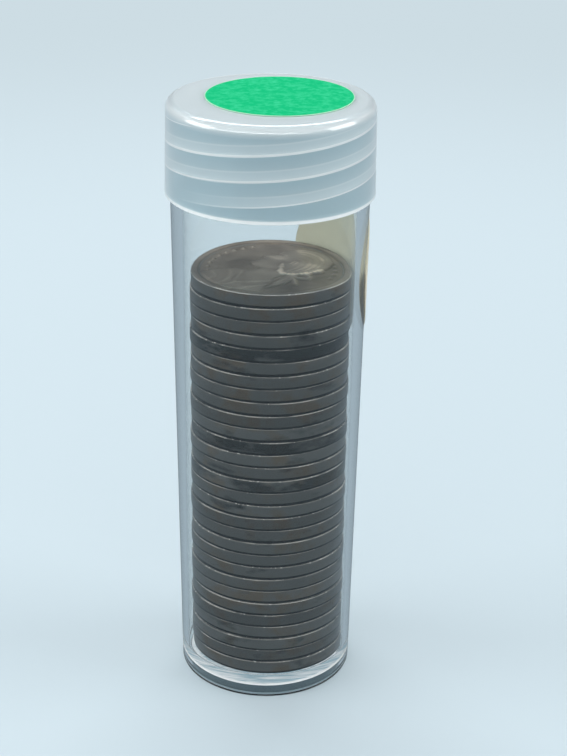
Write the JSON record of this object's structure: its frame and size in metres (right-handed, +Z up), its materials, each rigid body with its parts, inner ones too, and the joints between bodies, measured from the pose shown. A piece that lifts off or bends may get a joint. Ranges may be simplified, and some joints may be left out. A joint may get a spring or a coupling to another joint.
{
  "type": "coin tube",
  "caption": "Clear round screw-top tube with a milky threaded cap, paper dot labels and a loose column of plain-edged coins that slides inside.",
  "frame": {"origin": "centre of the foot ring, on the surface that the tube stands on", "axes": "+Z up along the tube's axis, +Y away from the pictured side, +X to the viewer's right"},
  "size_m": [0.0274, 0.0274, 0.0826],
  "materials": {
    "clear_tube": "clear moulded polystyrene, glossy",
    "milky_cap": "translucent moulded polyethylene, satin",
    "green_paper": "matt green label paper",
    "cream_paper": "matt cream label paper",
    "adhesive": "dried label adhesive",
    "coin_metal": "worn copper-nickel, dull shine"
  },
  "bodies": {
    "tube": {"tube": "clear_tube", "rear_label": "cream_paper", "rear_label_adhesive": "adhesive"},
    "cap_film": {"cap_label_adhesive": "adhesive"},
    "cap": {"cap": "milky_cap", "cap_label": "green_paper"},
    "coins": {"coin_01": "coin_metal", "coin_02": "coin_metal", "coin_03": "coin_metal", "coin_04": "coin_metal", "coin_05": "coin_metal", "coin_06": "coin_metal", "coin_07": "coin_metal", "coin_08": "coin_metal", "coin_09": "coin_metal", "coin_10": "coin_metal", "coin_11": "coin_metal", "coin_12": "coin_metal", "coin_13": "coin_metal", "coin_14": "coin_metal", "coin_15": "coin_metal", "coin_16": "coin_metal", "coin_17": "coin_metal", "coin_18": "coin_metal", "coin_19": "coin_metal", "coin_20": "coin_metal", "coin_21": "coin_metal", "coin_22": "coin_metal", "coin_23": "coin_metal", "coin_24": "coin_metal", "coin_25": "coin_metal", "coin_26": "coin_metal", "coin_27": "coin_metal", "coin_28": "coin_metal", "coin_29": "coin_metal", "coin_30": "coin_metal"}
  },
  "joints": [
    {"name": "cap_lift", "type": "slide", "parent": "tube", "child": "cap_film", "axis": [0, 0, 1], "range_m": [0, 0.013]},
    {"name": "cap_turn", "type": "hinge", "parent": "cap_film", "child": "cap", "pos_m": [0, 0, 0.07014], "axis": [0, 0, 1], "range_deg": [0, 720]},
    {"name": "coin_slide", "type": "slide", "parent": "tube", "child": "coins", "axis": [0, 0, 1], "range_m": [0, 0.021]}
  ],
  "couplings": [
    {"joint": "cap_lift", "follows": "cap_turn", "m_per_rad": 0.0010345}
  ]
}
